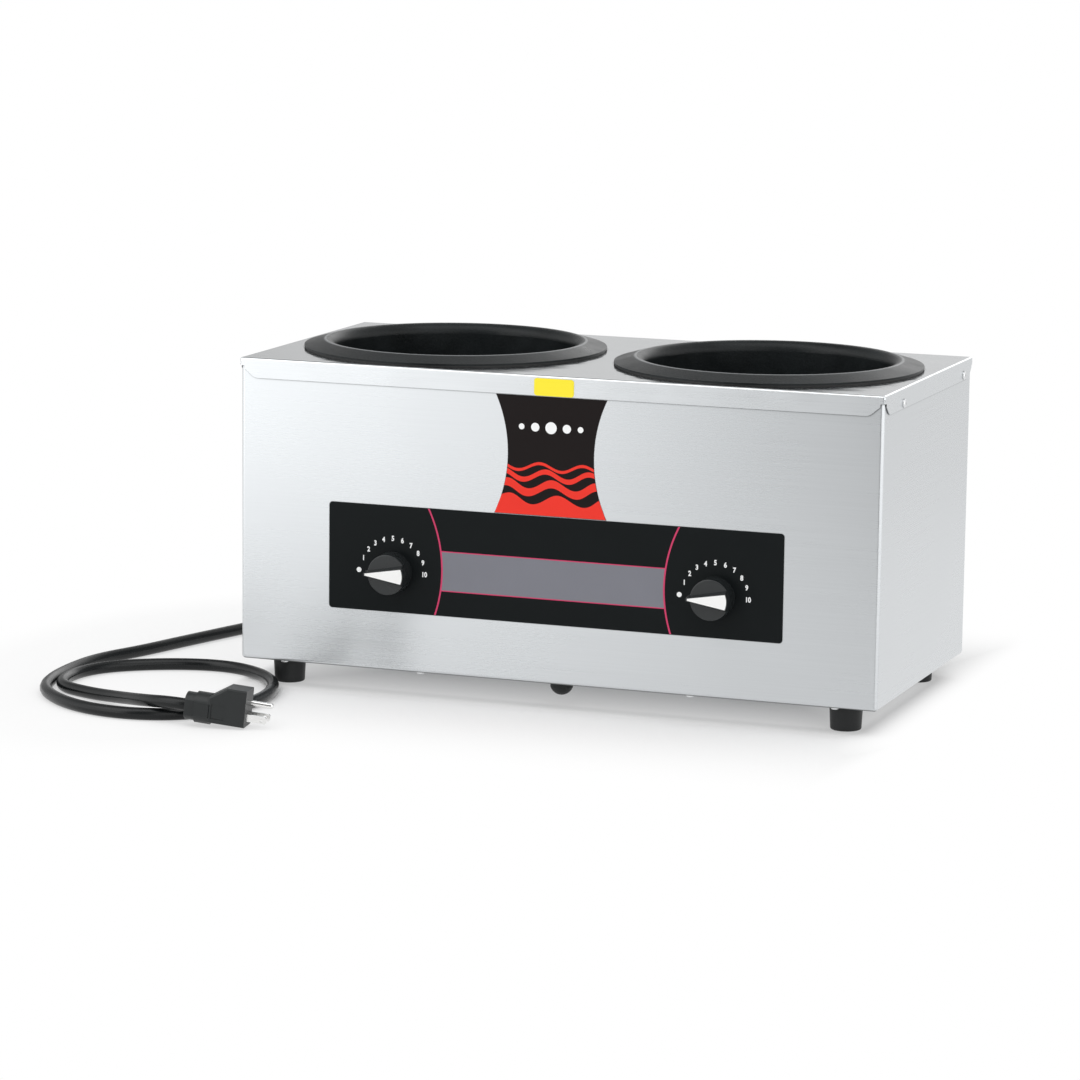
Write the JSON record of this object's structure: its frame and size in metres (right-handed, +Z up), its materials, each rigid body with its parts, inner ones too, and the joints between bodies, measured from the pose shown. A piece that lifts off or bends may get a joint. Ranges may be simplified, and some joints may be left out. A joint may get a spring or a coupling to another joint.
{
  "type": "twin-well rethermalizer",
  "caption": "Countertop food rethermalizer: a brushed stainless case with round black water wells, numbered dial knobs on a black front panel, rubber feet and a power cord with plug.",
  "frame": {"origin": "on the counter under the middle of the object's box, measured without the cord and plug", "axes": "+X to the object's right seen from its front, +Y to the back, +Z up; the knobs face -Y"},
  "size_m": [0.7507, 0.6161, 0.3008],
  "materials": {
    "stainless": "fine horizontal brushing",
    "stainless_deck": "semi-bright sheet",
    "base_steel": "dull galvanised sheet",
    "well_black": "black non-stick coating, fine speckle",
    "seal_rubber": "soft black silicone",
    "overlay_black": "printed polyester label",
    "decal_black": "printed label, black and red",
    "label_yellow": "plain vinyl",
    "knob_plastic": "moulded thermoset",
    "pointer_white": "white inlay",
    "screw_steel": "bright plated",
    "foot_rubber": "moulded black rubber",
    "cord_rubber": "black cord jacket",
    "plug_plastic": "moulded black vinyl",
    "plug_metal": "nickel-plated brass",
    "element_steel": "heat-toned alloy sheath",
    "plate_steel": "plain steel",
    "thermostat_body": "phenolic and ceramic",
    "shaft_steel": "turned steel",
    "copper": "copper tube",
    "fibre": "glass fibre blanket",
    "block_white": "moulded terminal block",
    "brass": "plain brass",
    "wire_black": "insulation",
    "wire_red": "insulation",
    "wire_white": "insulation",
    "wire_green": "insulation"
  },
  "bodies": {
    "root": {"base_pan": "base_steel", "base_screws": "screw_steel", "bulb_clip_left": "plate_steel", "bulb_clip_right": "plate_steel", "case_wrap": "stainless", "centre_bumper": "foot_rubber", "control_overlay": "overlay_black", "cord_leads": "wire_black", "deck_side_screws": "screw_steel", "element_clamp_left": "plate_steel", "element_clamp_right": "plate_steel", "element_nuts": "plate_steel", "element_wires": "wire_red", "foot_front_left": "foot_rubber", "foot_front_right": "foot_rubber", "foot_nuts": "plate_steel", "foot_rear_left": "foot_rubber", "foot_rear_right": "foot_rubber", "foot_screws": "plate_steel", "front_decal": "decal_black", "ground_stud_and_nut": "plate_steel", "ground_wire": "wire_green", "heating_element_left": "element_steel", "heating_element_right": "element_steel", "neutral_wires": "wire_white", "plug_blades": "plug_metal", "plug_body": "plug_plastic", "plug_ground_pin": "plug_metal", "power_cord": "cord_rubber", "rear_panel": "stainless", "rear_screws": "screw_steel", "strain_relief": "plug_plastic", "strain_relief_nut": "plug_plastic", "supply_wires": "wire_black", "terminal_block": "block_white", "terminal_screws": "brass", "thermostat_bulb_left": "copper", "thermostat_bulb_right": "copper", "thermostat_left": "thermostat_body", "thermostat_nuts": "plate_steel", "thermostat_right": "thermostat_body", "top_deck": "stainless_deck", "well_clips_left": "plate_steel", "well_clips_right": "plate_steel", "well_insulation_left": "fibre", "well_insulation_right": "fibre", "well_left": "well_black", "well_right": "well_black", "well_seal_left": "seal_rubber", "well_seal_right": "seal_rubber", "yellow_label": "label_yellow"},
    "left_control": {"knob_left": "knob_plastic", "knob_pointer_left": "pointer_white", "thermostat_shaft_left": "shaft_steel"},
    "right_control": {"knob_right": "knob_plastic", "knob_pointer_right": "pointer_white", "thermostat_shaft_right": "shaft_steel"}
  },
  "joints": [
    {"name": "left_knob_turn", "type": "hinge", "parent": "root", "child": "left_control", "pos_m": [-0.1485, -0.1318, 0.1108], "axis": [0, 1, 0], "range_deg": [0, 180]},
    {"name": "right_knob_turn", "type": "hinge", "parent": "root", "child": "right_control", "pos_m": [0.1485, -0.1318, 0.1108], "axis": [0, 1, 0], "range_deg": [0, 180]}
  ]
}
